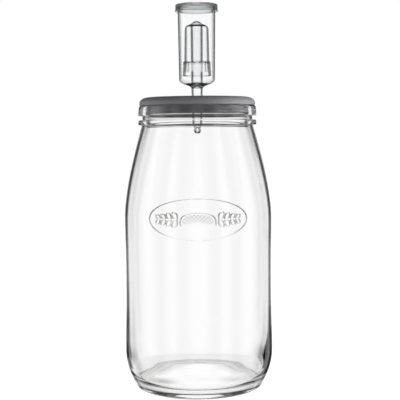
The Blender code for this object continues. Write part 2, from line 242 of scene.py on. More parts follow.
FLOOR_EDGE_RADIUS = 47.0 * MM
INNER_HEEL_HEIGHT = 44.0 * MM
INNER_HEEL_REACH_SHARES = (0, 0.65, 0.98, 1)
INNER_HEEL_RISE_SHARES = (0, 0.0, 0.23, 1)
SHOULDER_RISE_SHARES = (0.0, 0.35, 0.90, 1.0)
SHOULDER_INSET_SHARES = (0.0, 0.05, 0.86, 1.0)
FLOOR_ROWS = 12
HEEL_STEPS = 30
WALL_ROWS = 24
INNER_SHOULDER_STEPS = 32
SHOULDER_STEPS = 44
SIDE_ROWS = 30
OUTER_HEEL_STEPS = 24
DOME_ROWS = 10
RIM_STEPS = 8
ROUND_STEPS = 6
FOOT_STEPS = 5
print("shoulder from", round(SHOULDER_START, 4), "to", round(SHOULDER_END, 4), "m")


# %% The jar's outline
def shoulder(side_radius, neck_radius, start, steps):
    """Bezier curve from the side to the neck, with the bend's shares of rise and inset given above."""
    inset = np.array(SHOULDER_INSET_SHARES)
    rise = np.array(SHOULDER_RISE_SHARES)
    radii = side_radius + (neck_radius - side_radius) * inset
    heights = start + (SHOULDER_END - start) * rise
    return bend(np.column_stack([radii, heights]), steps)


def jar_inside():
    """The inner face from the middle of the floor up to the bore."""
    side = BODY_RADIUS - WAIST_DEPTH - WALL
    reaches = FLOOR_EDGE_RADIUS + (side - FLOOR_EDGE_RADIUS) * np.array(INNER_HEEL_REACH_SHARES)
    rises = FLOOR_HEIGHT + (INNER_HEEL_HEIGHT - FLOOR_HEIGHT) * np.array(INNER_HEEL_RISE_SHARES)
    radii = np.linspace(0, FLOOR_EDGE_RADIUS, FLOOR_ROWS)
    floor = FLOOR_HEIGHT + FLOOR_CROWN * (1 - (radii / FLOOR_EDGE_RADIUS) ** 2) ** 2
    heel = bend(np.column_stack([reaches, rises]), HEEL_STEPS)
    start = SHOULDER_START - INNER_SHOULDER_DROP
    wall = np.column_stack([np.full(WALL_ROWS, side), np.linspace(INNER_HEEL_HEIGHT, start, WALL_ROWS)])
    top = shoulder(side, BORE_RADIUS, start, INNER_SHOULDER_STEPS)
    return join(np.column_stack([radii, floor]), heel, wall, top)


def jar_rim():
    """The rim, the groove below it and the bead, from the bore over the top and down the outside."""
    top_radius = RIM_RADIUS - RIM_DRAFT
    round_radii = (RIM_ROUND, RIM_ROUND)
    foot_radii = (RIM_FOOT_ROUND, RIM_FOOT_ROUND)
    groove_radii = (GROOVE_ROUND, GROOVE_ROUND)
    bead_radii = (BEAD_ROUND, BEAD_ROUND)
    rim_side = (JAR_HEIGHT - RIM_ROUND, RIM_BOTTOM + RIM_FOOT_ROUND)
    return join(
        arc((BORE_RADIUS + RIM_ROUND, JAR_HEIGHT - RIM_ROUND), round_radii, 180, 90, RIM_STEPS),
        arc((top_radius - RIM_ROUND, JAR_HEIGHT - RIM_ROUND), round_radii, 90, 0, RIM_STEPS),
        np.column_stack([np.linspace(top_radius, RIM_RADIUS, RIM_STEPS), np.linspace(*rim_side, RIM_STEPS)]),
        arc((RIM_RADIUS - RIM_FOOT_ROUND, RIM_BOTTOM + RIM_FOOT_ROUND), foot_radii, 0, -90, ROUND_STEPS),
        arc((GROOVE_RADIUS + GROOVE_ROUND, RIM_BOTTOM - GROOVE_ROUND), groove_radii, 90, 180, ROUND_STEPS),
        arc((GROOVE_RADIUS + GROOVE_ROUND, BEAD_TOP + GROOVE_ROUND), groove_radii, 180, 270, ROUND_STEPS),
        arc((BEAD_RADIUS - BEAD_ROUND, BEAD_TOP - BEAD_ROUND), bead_radii, 90, 0, ROUND_STEPS),
        arc((BEAD_RADIUS - BEAD_ROUND, BEAD_BOTTOM + BEAD_ROUND), bead_radii, 0, -90, ROUND_STEPS),
    )


def jar_outside():
    """The outer face from the neck down to the edge of the foot, and the pushed-up base."""
    side_radius = BODY_RADIUS - WAIST_DEPTH
    ridge_radius = BODY_RADIUS - UPPER_RIDGE_DROP
    neck = shoulder(ridge_radius, NECK_RADIUS, SHOULDER_START, SHOULDER_STEPS)[::-1]
    heights = np.linspace(SHOULDER_START, HEEL_HEIGHT, SIDE_ROWS)
    span = SHOULDER_START - HEEL_HEIGHT
    knots = HEEL_HEIGHT + span * np.array(SIDE_HEIGHT_SHARES)
    radii = [BODY_RADIUS, BODY_RADIUS, side_radius, side_radius, ridge_radius, ridge_radius]
    side = np.column_stack([smooth_through(knots, radii, heights), heights])
    heel_bend = (BODY_RADIUS, (HEEL_HEIGHT + FOOT_ROUND) / 2)
    heel = bend([(BODY_RADIUS, HEEL_HEIGHT), heel_bend, (BEARING_RADIUS, FOOT_ROUND)], OUTER_HEEL_STEPS)
    return join(neck, side, heel)


def jar_foot():
    """The flat ring that the jar stands on, and the dome of its underside."""
    bearing_edge = BEARING_RADIUS - FOOT_ROUND
    punt_edge = bearing_edge - BEARING_WIDTH
    corner = arc((bearing_edge, FOOT_ROUND), (FOOT_ROUND, FOOT_ROUND), 0, -90, FOOT_STEPS)
    radii = np.linspace(punt_edge, 0, DOME_ROWS)
    dome = np.column_stack([radii, PUNT_HEIGHT * (1 - (radii / punt_edge) ** 2)])
    return join(corner, dome)


inside, rim, outside, foot = jar_inside(), jar_rim(), jar_outside(), jar_foot()
profile = join(inside, rim, outside, foot)
inner_radius, inner_step = inside[:, 0], np.diff(inside[:, 1])
slices = inner_radius[1:] ** 2 + inner_radius[1:] * inner_radius[:-1] + inner_radius[:-1] ** 2
brim = np.pi * BORE_RADIUS**2 * (JAR_HEIGHT - SHOULDER_END)
litres = (np.sum(np.pi / 3 * slices * inner_step) + brim) * 1000
print("outline points", len(profile), "holding", round(litres, 2), "litres to the brim")

# %% [markdown]
# ## The raised design on the front
#
# A jar like this has a design on its front that stands out of the glass by under a millimetre.
# It isn't drawn with lines. Each shape is a distance: how far a point of the panel lies from the
# shape's edge. The distance becomes the height of a ridge with two sloping flanks, and it is the
# flanks that bend the light and show as a thin dark line. The motif is a gherkin between two
# sprigs, in a plain oval ring.

# %% Distances to each shape's edge
NEARLY_ZERO = 1e-9
PANEL_HEIGHT = 163.0 * MM
PANEL_HALF_WIDTH = 47.0 * MM
PANEL_HALF_HEIGHT = 18.5 * MM
RELIEF_HEIGHT = 0.80 * MM
RELIEF_FLANK = 0.66 * MM
GHERKIN_HALF_LENGTH = 11.0 * MM
GHERKIN_RADIUS = 5.2 * MM
GHERKIN_BEND = 14.0
GHERKIN_MIDDLE = 1.04 * MM
WART_SPACING = 3.4 * MM
WART_RADIUS = 0.9 * MM
WART_MARGIN = 2.0
LEAF_PAIRS = 4
LEAF_LENGTHS = (8.0 * MM, 6.0 * MM)
LEAF_SLIMNESS = 0.30
LEAF_DEGREES = (58, 40)
SPRIG_START = 19.0 * MM
SPRIG_STEP = 5.4 * MM


def ellipse_distance(across, up):
    """How far a point lies inside the oval: one minus the scaled radius, over that radius's slope."""
    scaled = np.sqrt((across / PANEL_HALF_WIDTH) ** 2 + (up / PANEL_HALF_HEIGHT) ** 2) + NEARLY_ZERO
    slope = np.sqrt((across / PANEL_HALF_WIDTH**2) ** 2 + (up / PANEL_HALF_HEIGHT**2) ** 2) / scaled
    return (1 - scaled) / (slope + NEARLY_ZERO)


def leaf_distance(across, up, root, length, degrees):
    """How far a point lies inside a leaf: its half width falls off with the square of the place along it."""
    turn = np.radians(degrees)
    along = (across - root[0]) * np.cos(turn) + (up - root[1]) * np.sin(turn)
    aside = -(across - root[0]) * np.sin(turn) + (up - root[1]) * np.cos(turn)
    share = 2 * along / length - 1
    return length * LEAF_SLIMNESS * (1 - share**2) - np.abs(aside)


def segment_distance(across, up, start, end):
    """How far a point lies from a level line between two places."""
    beyond = np.maximum(np.abs(across - (start + end) / 2) - (end - start) / 2, 0)
    return np.hypot(beyond, up)


def bead(distance):
    """A raised line: 1 where the distance is nothing, falling evenly to 0 over the flank's width."""
    return np.clip(1 - np.abs(distance) / RELIEF_FLANK, 0, 1)


def warts(across, up):
    """Small domes in staggered rows: 1 minus the squared distance to the nearest wart's middle."""
    row = np.round(up / WART_SPACING * 2)
    shift = np.where(row % 2 == 0, 0.0, WART_SPACING / 2)
    column_gap = (across + shift + WART_SPACING / 2) % WART_SPACING - WART_SPACING / 2
    row_gap = up - row * WART_SPACING / 2
    return np.clip(1 - (column_gap**2 + row_gap**2) / WART_RADIUS**2, 0, 1)


def relief(across, up):
    """Height of the raised design, as a share: the highest of its shapes at each point."""
    side = np.abs(across)
    bent = up + GHERKIN_BEND * across**2 - GHERKIN_MIDDLE
    gherkin = GHERKIN_RADIUS - segment_distance(across, bent, -GHERKIN_HALF_LENGTH, GHERKIN_HALF_LENGTH)
    inside = np.clip(gherkin / RELIEF_FLANK - WART_MARGIN, 0, 1)
    heights = [bead(ellipse_distance(across, up)), bead(gherkin), inside * warts(across, bent)]
    sprig_end = SPRIG_START + SPRIG_STEP * LEAF_PAIRS
    heights.append(bead(segment_distance(side, up, SPRIG_START, sprig_end)))
    for pair in range(LEAF_PAIRS):
        share = pair / (LEAF_PAIRS - 1)
        length = LEAF_LENGTHS[0] + (LEAF_LENGTHS[1] - LEAF_LENGTHS[0]) * share
        degrees = LEAF_DEGREES[0] + (LEAF_DEGREES[1] - LEAF_DEGREES[0]) * share
        root = (SPRIG_START + SPRIG_STEP * pair, 0.0)
        for sign in (-1, 1):
            leaf = leaf_distance(side, up, root, length, sign * degrees)
            heights.append(bead(leaf))
    return np.maximum.reduce(heights)


# %% [markdown]
# ## The jar's mesh
#
# The columns aren't even: they lie close together across the raised design and far apart round
# the back, where nothing fine has to be drawn. The rows are close together at the same heights.
# Blown glass is never quite even, so slow waves move the inner face a tenth of a millimetre in
# and out, and the glass is thicker on one side of the heel. Such unevenness is what makes real
# glass look alive, because every wave bends the background a little.

# %% Bands of unlike columns
def zip_rings(upper, lower):
    """Triangles between two rings of vertices, in the order in which their angles come round."""
    whole = 2 * np.pi
    upper_all, lower_all = np.append(upper, whole), np.append(lower, whole)
    step = np.arange(len(upper))
    partner = np.searchsorted(lower_all, upper_all[1:], side="right") - 1
    down = np.column_stack([step, len(upper) + partner % len(lower), (step + 1) % len(upper)])
    step = np.arange(len(lower))
    partner = np.searchsorted(upper_all, lower_all[1:], side="left") - 1
    along = np.column_stack([partner % len(upper), len(upper) + step, len(upper) + (step + 1) % len(lower)])
    return np.concatenate([down, along])


def banded_object(name, bands):
    """A mesh of several grids below each other, zipped together where their columns differ."""
    vertices, faces, start = [], [], 0
    for index, (points, offsets) in enumerate(bands):
        rows, columns = points.shape[:2]
        if index:
            zipped = zip_rings(bands[index - 1][1], offsets) + start - len(bands[index - 1][1])
            faces.extend(zipped.tolist())
        faces.extend((grid_faces(rows, columns, rows - 1) + start).tolist())
        vertices.append(points.reshape(-1, 3))
        start += rows * columns
    return mesh_object(name, np.concatenate(vertices), faces, merge=True)


# %% Build the jar
PANEL_COLUMNS = 352
PANEL_HALF_ANGLE = np.radians(39.8)
PANEL_SPACING = 0.28 * MM
BACK_COLUMNS = 60
PLAIN_COLUMNS = 144
WAVE_HEIGHT = 0.10 * MM
HEEL_EXTRA = 1.5 * MM
HEEL_EXTRA_TOP = 56.0 * MM
HEEL_EXTRA_RISE = 28.0 * MM
WAVES = ((2, 31.0, 0.0, 0.5), (3, -47.0, 1.0, 0.3), (0, 90.0, 0.0, 0.2))
WAVE_FADE = 20.0 * MM
FRONT_ANGLE = -np.pi / 2
FIRST_ANGLE = FRONT_ANGLE - PANEL_HALF_ANGLE


def rows_between(curve, low, high, spacing):
    """The stretch of a falling outline between two heights, with rows at even steps of height."""
    heights = np.arange(high, low, -spacing)
    return np.column_stack([np.interp(heights, curve[::-1, 1], curve[::-1, 0]), heights])


def step_up(distance, width):
    """Smooth step: 0 outside the edge, 1 once the distance reaches the width, and level at both ends."""
    share = np.clip(distance / width, 0, 1)
    return share * share * (3 - 2 * share)


def outer_change(radius, height, angle):
    """The design's height on the front panel, which never stands out beyond the body's widest radius."""
    turn = angle - FRONT_ANGLE
    turn = (turn + np.pi) % (2 * np.pi) - np.pi
    raised = RELIEF_HEIGHT * relief(BODY_RADIUS * turn, height - PANEL_HEIGHT)
    return np.minimum(raised, BODY_RADIUS - radius)


def inner_change(radius, height, angle):
    """Sines of the angle and the height added up, and more glass on the right of the heel."""
    fade = np.clip(radius / BORE_RADIUS, 0, 1) ** 4 * np.clip((SHOULDER_END - height) / WAVE_FADE, 0, 1)
    wave = sum(share * np.sin(turns * angle + rate * height + start) for turns, rate, start, share in WAVES)
    heel = step_up(HEEL_EXTRA_TOP - height, HEEL_EXTRA_RISE) * np.clip(np.cos(angle), 0, 1) ** 4
    return -(WAVE_HEIGHT * wave + HEEL_EXTRA * heel) * fade


plain_offsets = np.linspace(0, 2 * np.pi, PLAIN_COLUMNS, endpoint=False)
panel_offsets = np.concatenate(
    [
        np.linspace(0, 2 * PANEL_HALF_ANGLE, PANEL_COLUMNS, endpoint=False),
        np.linspace(2 * PANEL_HALF_ANGLE, 2 * np.pi, BACK_COLUMNS, endpoint=False),
    ]
)
panel_top = PANEL_HEIGHT + PANEL_HALF_HEIGHT + 2 * RELIEF_FLANK
panel_bottom = PANEL_HEIGHT - PANEL_HALF_HEIGHT - 2 * RELIEF_FLANK
above = outside[outside[:, 1] > panel_top]
below = outside[outside[:, 1] < panel_bottom]
plain_angles = FIRST_ANGLE + plain_offsets
inner_grid = around(inside, plain_angles, inner_change)
upper_grid = np.concatenate([inner_grid, around(join(rim, above), plain_angles)])
panel_rows = rows_between(outside, panel_bottom, panel_top, PANEL_SPACING)
panel_grid = around(panel_rows, FIRST_ANGLE + panel_offsets, outer_change)
lower_grid = around(join(below, foot), plain_angles)
bands = [(upper_grid, plain_offsets), (panel_grid, panel_offsets), (lower_grid, plain_offsets)]
jar = banded_object("jar_glass", bands)
print("jar rows", len(upper_grid), len(panel_grid), len(lower_grid))

# %% [markdown]
# ## The lid
#
# The lid is one soft silicone moulding. Its cover lies on the rim, and a hollow plug with two
# ribs presses on the glass from inside. The stem goes through a boss in the middle. In the
# photograph the plug shows through the rim as two grey bands, which only appear if the plug is
# really there behind the glass.

# %% Build the lid
LID_LOW, LID_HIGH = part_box("silicone_lid")
FIT_GAP = 0.3 * MM
LID_SEAT = JAR_HEIGHT + FIT_GAP
LID_CROWN = 0.4 * MM
LID_TOP = LID_HIGH[2] - LID_CROWN
LID_RADIUS = LID_HIGH[0]
LID_CORNER = (9.0 * MM, 5.5 * MM)
LID_EDGE_ROUND = 0.6 * MM
LID_HOLE_ROUND = 0.5 * MM
PLUG_RADIUS = BORE_RADIUS - FIT_GAP
PLUG_BOTTOM = LID_LOW[2]
PLUG_WALL = 6.0 * MM
RIB_HEIGHT = 1.2 * MM
RIB_FULLNESS = 0.8
PLUG_FOOT_ROUND = 0.8 * MM
CROWN_ROWS = 30
RIB_ROWS = 40
LID_WEB = 5.0 * MM
BOSS_RADIUS = 9.5 * MM
BOSS_DEPTH = 6.0 * MM
STANDOFF = 8.8 * MM
STEM_LENGTH = 36.0 * MM
STEM_ROOT_RADIUS = 5.4 * MM
STEM_END_RADIUS = 4.5 * MM
STEM_ROOT = LID_TOP + LID_CROWN + STANDOFF
TURNED_COLUMNS = 160


def stem_radius(height):
    """The stem tapers evenly from its root down to its end."""
    return STEM_ROOT_RADIUS + (STEM_END_RADIUS - STEM_ROOT_RADIUS) * (STEM_ROOT - height) / STEM_LENGTH


def lid_profile():
    """From the stem's hole over the cover, down its side, along the ribbed plug and back up inside."""
    hole_top = LID_TOP + LID_CROWN
    corner_radius = LID_RADIUS - LID_CORNER[0]
    ceiling = LID_TOP - LID_WEB
    boss_bottom = ceiling - BOSS_DEPTH
    hole_radius = stem_radius(hole_top) + FIT_GAP
    lip_radius, lip_height = hole_radius + LID_HOLE_ROUND, hole_top - LID_HOLE_ROUND
    radii = np.linspace(lip_radius, corner_radius, CROWN_ROWS)
    crown = np.column_stack([radii, LID_TOP + LID_CROWN * (1 - (radii / corner_radius) ** 2)])
    lip = arc((lip_radius, lip_height), (LID_HOLE_ROUND, LID_HOLE_ROUND), 180, 90, steps=4)
    corner = arc((corner_radius, LID_TOP - LID_CORNER[1]), LID_CORNER, 90, 0, steps=24)
    edge_middle = (LID_RADIUS - LID_EDGE_ROUND, LID_SEAT + LID_EDGE_ROUND)
    edge = arc(edge_middle, (LID_EDGE_ROUND, LID_EDGE_ROUND), 0, -90, steps=6)
    share = np.linspace(0, 1, RIB_ROWS)
    swell = np.abs(np.sin(2 * np.pi * share)) ** RIB_FULLNESS
    rib_heights = LID_SEAT + (PLUG_BOTTOM - LID_SEAT) * share
    ribs = np.column_stack([PLUG_RADIUS - RIB_HEIGHT * (1 - swell), rib_heights])
    recess = PLUG_RADIUS - PLUG_WALL
    foot_middle = (recess + PLUG_FOOT_ROUND, PLUG_BOTTOM + PLUG_FOOT_ROUND)
    foot = arc(foot_middle, (PLUG_FOOT_ROUND, PLUG_FOOT_ROUND), 270, 180, steps=5)
    under = np.array([(recess, ceiling), (BOSS_RADIUS, ceiling), (BOSS_RADIUS, boss_bottom)])
    hole = np.array([(stem_radius(boss_bottom) + FIT_GAP, boss_bottom), (hole_radius, lip_height)])
    return join(lip, crown, corner, edge, ribs, foot, under, hole)[1:]


even_angles = np.linspace(0, 2 * np.pi, TURNED_COLUMNS, endpoint=False)
lid = grid_object("lid_silicone", around(lid_profile(), even_angles), closed_rows=True)
print("lid top at", round(LID_TOP + LID_CROWN, 4), "m")

# %% [markdown]
# ## The airlock's body
#
# Gas rises through the stem into a tube that stands in a cup of water. Cup, tube and stem are
# one clear moulding, so they are one closed outline: down the outside of the cup and the stem,
# round the nub at the end, up through the bore, over the top of the tube and back to the rim.

# %% Build the airlock's body
CUP_WALL = 1.0 * MM
CUP_BASE_RADIUS = 16.8 * MM
CUP_RIM_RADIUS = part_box("airlock_body")[1][0]
CUP_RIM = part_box("airlock_body")[1][2]
CONE_RADIUS = 13.6 * MM
CONE_RISE = 3.2 * MM
CUP_RIM_ROUND = 0.4 * MM
CUP_CORNER_RISE = 5.0 * MM
CUP_CORNER_ROUND = 2.0 * MM
INNER_CORNER_RISES = (0.7 * MM, 0.5 * MM)
CUP_FLOOR_RISE = 2.4 * MM
STEM_WALL = 1.0 * MM
STEM_FILLET = 1.4 * MM
STEM_END = STEM_ROOT - STEM_LENGTH
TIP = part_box("airlock_body")[0][2]
TIP_LENGTH = STEM_END - TIP
NUB_RADIUS = 3.4 * MM
NUB_WAIST = 2.3 * MM
TIP_CHANNEL = 1.8 * MM
WAIST_SHARE = 1 / 4
NUB_SHARE = 3 / 5
STEM_END_SHARE = 0.8
TUBE_HEIGHT = 57.6 * MM
TUBE_TOP = STEM_ROOT + TUBE_HEIGHT
TUBE_BASE_RADIUS = 5.4 * MM
TUBE_TOP_RADIUS = 5.7 * MM
TUBE_WALL = 1.0 * MM
TUBE_FILLET = 1.2 * MM
LONGEST_STEP = 3.0 * MM
CUP_FLOOR = STEM_ROOT + CUP_FLOOR_RISE


def body_profile():
    """One closed outline through cup, stem, nub, bore and tube."""
    corner = STEM_ROOT + CUP_CORNER_RISE
    cone_height = STEM_ROOT + CONE_RISE
    half_wall = CUP_WALL / 2
    inner_radius = CUP_BASE_RADIUS - CUP_WALL
    inner_cone = cone_height + INNER_CORNER_RISES[0]
    inner_bend = corner + INNER_CORNER_RISES[1]
    waist, nub = STEM_END - TIP_LENGTH * WAIST_SHARE, STEM_END - TIP_LENGTH * NUB_SHARE
    rim_middle = (CUP_RIM_RADIUS - half_wall, CUP_RIM - CUP_RIM_ROUND)
    rim_top = arc(rim_middle, (half_wall, CUP_RIM_ROUND), 90, 0, steps=6)
    wall_foot = (CUP_BASE_RADIUS, corner + CUP_CORNER_ROUND)
    cup_corner = bend([wall_foot, (CUP_BASE_RADIUS, corner), (CONE_RADIUS, cone_height)], steps=12)
    root = bend(
        [
            (STEM_ROOT_RADIUS + STEM_FILLET * 2, STEM_ROOT + STEM_FILLET),
            (STEM_ROOT_RADIUS, STEM_ROOT + STEM_FILLET / 4),
            (stem_radius(STEM_ROOT - STEM_FILLET), STEM_ROOT - STEM_FILLET),
        ],
        steps=14,
    )
    end_bend = (STEM_END_RADIUS * STEM_END_SHARE, waist)
    end = bend([(STEM_END_RADIUS, STEM_END), end_bend, (NUB_WAIST, waist)], steps=8)
    nub_reach = NUB_RADIUS * 2 - (NUB_WAIST + TIP_CHANNEL) / 2
    knob = bend([(NUB_WAIST, waist), (nub_reach, nub), (TIP_CHANNEL, TIP)], steps=18)
    stem_bore = (STEM_END_RADIUS - STEM_WALL, STEM_END)
    bore = np.array([(TIP_CHANNEL, waist), stem_bore, (TUBE_BASE_RADIUS - TUBE_WALL, CUP_FLOOR)])
    tube_round = TUBE_WALL / 2
    tube_middle = (TUBE_TOP_RADIUS - tube_round, TUBE_TOP - tube_round)
    tube_end = arc(tube_middle, (tube_round, tube_round), 180, 0, steps=10)
    tube_foot = bend(
        [
            (TUBE_BASE_RADIUS, CUP_FLOOR + TUBE_FILLET),
            (TUBE_BASE_RADIUS, CUP_FLOOR),
            (TUBE_BASE_RADIUS + TUBE_FILLET, CUP_FLOOR),
        ],
        steps=6,
    )
    inner_corner = bend(
        [
            (CONE_RADIUS - CUP_WALL, inner_cone),
            (inner_radius, inner_bend),
            (inner_radius, inner_bend + CUP_CORNER_ROUND),
        ],
        steps=12,
    )
    inner_rim = np.array([(CUP_RIM_RADIUS - CUP_WALL, CUP_RIM - CUP_RIM_ROUND)])
    return join(rim_top, cup_corner, root, end, knob, bore, tube_end, tube_foot, inner_corner, inner_rim)


def split_steps(points, longest):
    """Extra points on long straight stretches, so that no face is much longer than it is wide."""
    steps = np.hypot(*np.diff(points, axis=0).T)
    counts = np.maximum(1, np.ceil(steps / longest)).astype(int)
    shares = np.concatenate([np.arange(count) / count for count in counts])
    starts = np.repeat(np.arange(len(steps)), counts)
    split = points[starts] + (points[starts + 1] - points[starts]) * shares[:, None]
    return np.concatenate([split, points[-1:]])


body_outline = body_profile()
body_rows = split_steps(np.concatenate([body_outline, body_outline[:1]]), LONGEST_STEP)[:-1]
airlock = grid_object("airlock_body_clear", around(body_rows, even_angles), closed_rows=True)
print("cup floor at", round(CUP_FLOOR, 4), "m, tube top at", round(TUBE_TOP, 4), "m")

# %% [markdown]
# ## The float
#
# The float is a bell. Dry, its cone rests on the end of the tube. Its wider skirt has flutes that
# let the gas out in small bubbles. They are part of the grid: inside the skirt's band of heights,
# a repeated smooth step of the angle takes a little off the radius of both faces.

# %% Build the float
FLOAT_LOW, FLOAT_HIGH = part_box("airlock_float")
FLOAT_BOTTOM, FLOAT_APEX = FLOAT_LOW[2], FLOAT_HIGH[2]
FLOAT_RADIUS = FLOAT_HIGH[0]
FLOAT_WALL = 0.8 * MM
SKIRT_HEIGHT = 13.8 * MM
SKIRT_FLARE = 0.5 * MM
SKIRT_LEDGE = 1.1 * MM
FLOAT_TAPER = 0.5 * MM
FLOAT_ROUND = 3.0 * MM
FLOAT_CONE_RISE = 5.7 * MM
FLOAT_TIP_ROUND = 4.0 * MM
LEDGE_DROP = 0.1 * MM
FLOAT_ROW = 0.9 * MM
FLUTE_COUNT = 12
COLUMNS_A_FLUTE = 16
FLUTE_DEPTH = 0.45 * MM
FLUTE_MARGIN = 3.5 * MM
FLUTE_FADES = (1.2 * MM, 0.8 * MM)
FLUTE_EDGE = 0.35
FLUTE_SOFTNESS = 0.5
BELL_RADIUS = FLOAT_RADIUS - SKIRT_FLARE - SKIRT_LEDGE
BELL_TOP_RADIUS = BELL_RADIUS - FLOAT_TAPER
LEDGE = FLOAT_BOTTOM + SKIRT_HEIGHT


def float_profile():
    """From the tip of the cone down the outside, round the skirt's edge and up the inside."""
    slope = FLOAT_CONE_RISE / BELL_TOP_RADIUS
    thickness = FLOAT_WALL * np.hypot(1, slope)
    top = FLOAT_APEX - FLOAT_CONE_RISE
    skirt_top = FLOAT_RADIUS - SKIRT_FLARE
    skirt_edge = (skirt_top, LEDGE - SKIRT_LEDGE)
    inner_top = BELL_TOP_RADIUS - FLOAT_WALL
    edge = FLOAT_WALL / 2
    cone_edge = (BELL_TOP_RADIUS - FLOAT_ROUND, top + FLOAT_ROUND * slope)
    tip_edge = (FLOAT_TIP_ROUND, FLOAT_APEX - slope * FLOAT_TIP_ROUND)
    outside = join(
        bend([(0, FLOAT_APEX), (FLOAT_TIP_ROUND / 2, FLOAT_APEX), tip_edge], steps=6),
        bend([cone_edge, (BELL_TOP_RADIUS, top), (BELL_TOP_RADIUS, top - FLOAT_ROUND)], steps=14),
        bend([(BELL_RADIUS, LEDGE), (skirt_top, LEDGE - LEDGE_DROP), skirt_edge], steps=8),
        arc((FLOAT_RADIUS - edge, FLOAT_BOTTOM + edge), (edge, edge), 0, -180, steps=8),
    )
    inside = np.array(
        [
            (skirt_top - FLOAT_WALL, LEDGE - SKIRT_LEDGE - FLOAT_WALL),
            (BELL_RADIUS - FLOAT_WALL, LEDGE - FLOAT_WALL),
            (inner_top, FLOAT_APEX - thickness - inner_top * slope),
            (0, FLOAT_APEX - thickness),
        ]
    )
    return join(outside, inside)


def flute_change(radius, height, angle):
    """A groove at each flute's angle, faded in and out over the skirt's band of heights."""
    groove = step_up(np.cos(FLUTE_COUNT * (angle - np.pi / FLUTE_COUNT)) - FLUTE_EDGE, FLUTE_SOFTNESS)
    foot = step_up(height - FLOAT_BOTTOM - FLUTE_MARGIN, FLUTE_FADES[0])
    head = step_up(LEDGE - SKIRT_LEDGE - height, FLUTE_FADES[1])
    return -FLUTE_DEPTH * groove * foot * head * (radius > BELL_RADIUS - 2 * FLOAT_WALL)


float_angles = np.linspace(0, 2 * np.pi, FLUTE_COUNT * COLUMNS_A_FLUTE, endpoint=False)
float_grid = around(split_steps(float_profile(), FLOAT_ROW), float_angles, flute_change)
bell = grid_object("airlock_float_clear", float_grid, closed_rows=False)
print("float from", round(FLOAT_BOTTOM, 4), "to", round(FLOAT_APEX, 4), "m")

# %% [markdown]
# ## The cap
#
# The cap is a shallow lid that pushes onto the cup. It is a turned surface too, but a ring of
# small vents goes through its top. Holes are easiest to cut afterwards with a Boolean, which
# leaves the rest of the surface as it is.

# %% Build the cap
CAP_LOW, CAP_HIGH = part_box("airlock_cap")
CAP_TOP, CAP_BOTTOM = CAP_HIGH[2], CAP_LOW[2]
CAP_BORE = CUP_RIM_RADIUS + FIT_GAP
CAP_WALL = 1.75 * MM
CAP_RADIUS = CAP_BORE + CAP_WALL
CAP_THICKNESS = 1.3 * MM
CAP_ROUND = 0.9 * MM
CAP_LIP_REACH = 0.6 * MM
CAP_LIP_HEIGHT = 0.7 * MM
CAP_SEAT = CUP_RIM + FIT_GAP
CAP_SEAT_WIDTH = 2.1 * MM
VENT_COUNT = 8
VENT_RADIUS = 0.8 * MM
VENT_CIRCLE = 10.0 * MM
VENT_SIDES = 24


def cap_profile():
    """From the middle of the top outwards, down the skirt, round its lip and back inside."""
    recess = CUP_RIM_RADIUS - CAP_SEAT_WIDTH
    ceiling = CAP_TOP - CAP_THICKNESS
    lip = CAP_LIP_REACH / 2
    return join(
        np.array([(0, CAP_TOP)]),
        arc((CAP_RADIUS - CAP_ROUND, CAP_TOP - CAP_ROUND), (CAP_ROUND, CAP_ROUND), 90, 0, steps=8),
        bend(
            [
                (CAP_RADIUS, CAP_BOTTOM + CAP_LIP_HEIGHT * 2),
                (CAP_RADIUS, CAP_BOTTOM + CAP_LIP_HEIGHT),
                (CAP_RADIUS + CAP_LIP_REACH, CAP_BOTTOM + CAP_LIP_HEIGHT),
            ],
            steps=6,
        ),
        arc((CAP_RADIUS + CAP_LIP_REACH - lip, CAP_BOTTOM + lip), (lip, lip), 0, -90, steps=4),
        np.array([(CAP_BORE, CAP_BOTTOM), (CAP_BORE, CAP_SEAT)]),
        np.array([(recess, CAP_SEAT), (recess, ceiling), (0, ceiling)]),
    )


def cut_vents(piece):
    """Cuts the ring of vents with one Boolean and leaves no cutter behind."""
    builder = bmesh.new()
    for index in range(VENT_COUNT):
        turn = 2 * np.pi * (index + 0.5) / VENT_COUNT
        spot = (VENT_CIRCLE * np.cos(turn), VENT_CIRCLE * np.sin(turn), CAP_TOP)
        bmesh.ops.create_cone(
            builder, cap_ends=True, segments=VENT_SIDES, radius1=VENT_RADIUS, radius2=VENT_RADIUS,
            depth=CAP_THICKNESS * 4, matrix=Matrix.Translation(spot),
        )
    mesh = bpy.data.meshes.new("vents")
    builder.to_mesh(mesh)
    builder.free()
    cutter = bpy.data.objects.new("vents", mesh)
    bpy.context.scene.collection.objects.link(cutter)
    cut = piece.modifiers.new("vents", "BOOLEAN")
    cut.object = cutter
    cut.solver = "EXACT"
    graph = bpy.context.evaluated_depsgraph_get()
    cut_mesh = bpy.data.meshes.new_from_object(piece.evaluated_get(graph))
    piece.modifiers.clear()
    piece.data = cut_mesh
    bpy.data.objects.remove(cutter, do_unlink=True)
    piece.data.shade_smooth()
    piece.data.set_sharp_from_angle(angle=SHARP_ANGLE)


cap = grid_object("airlock_cap_clear", around(cap_profile(), even_angles[::2]), closed_rows=False)
cut_vents(cap)
print("cap from", round(CAP_BOTTOM, 4), "to", round(CAP_TOP, 4), "m")
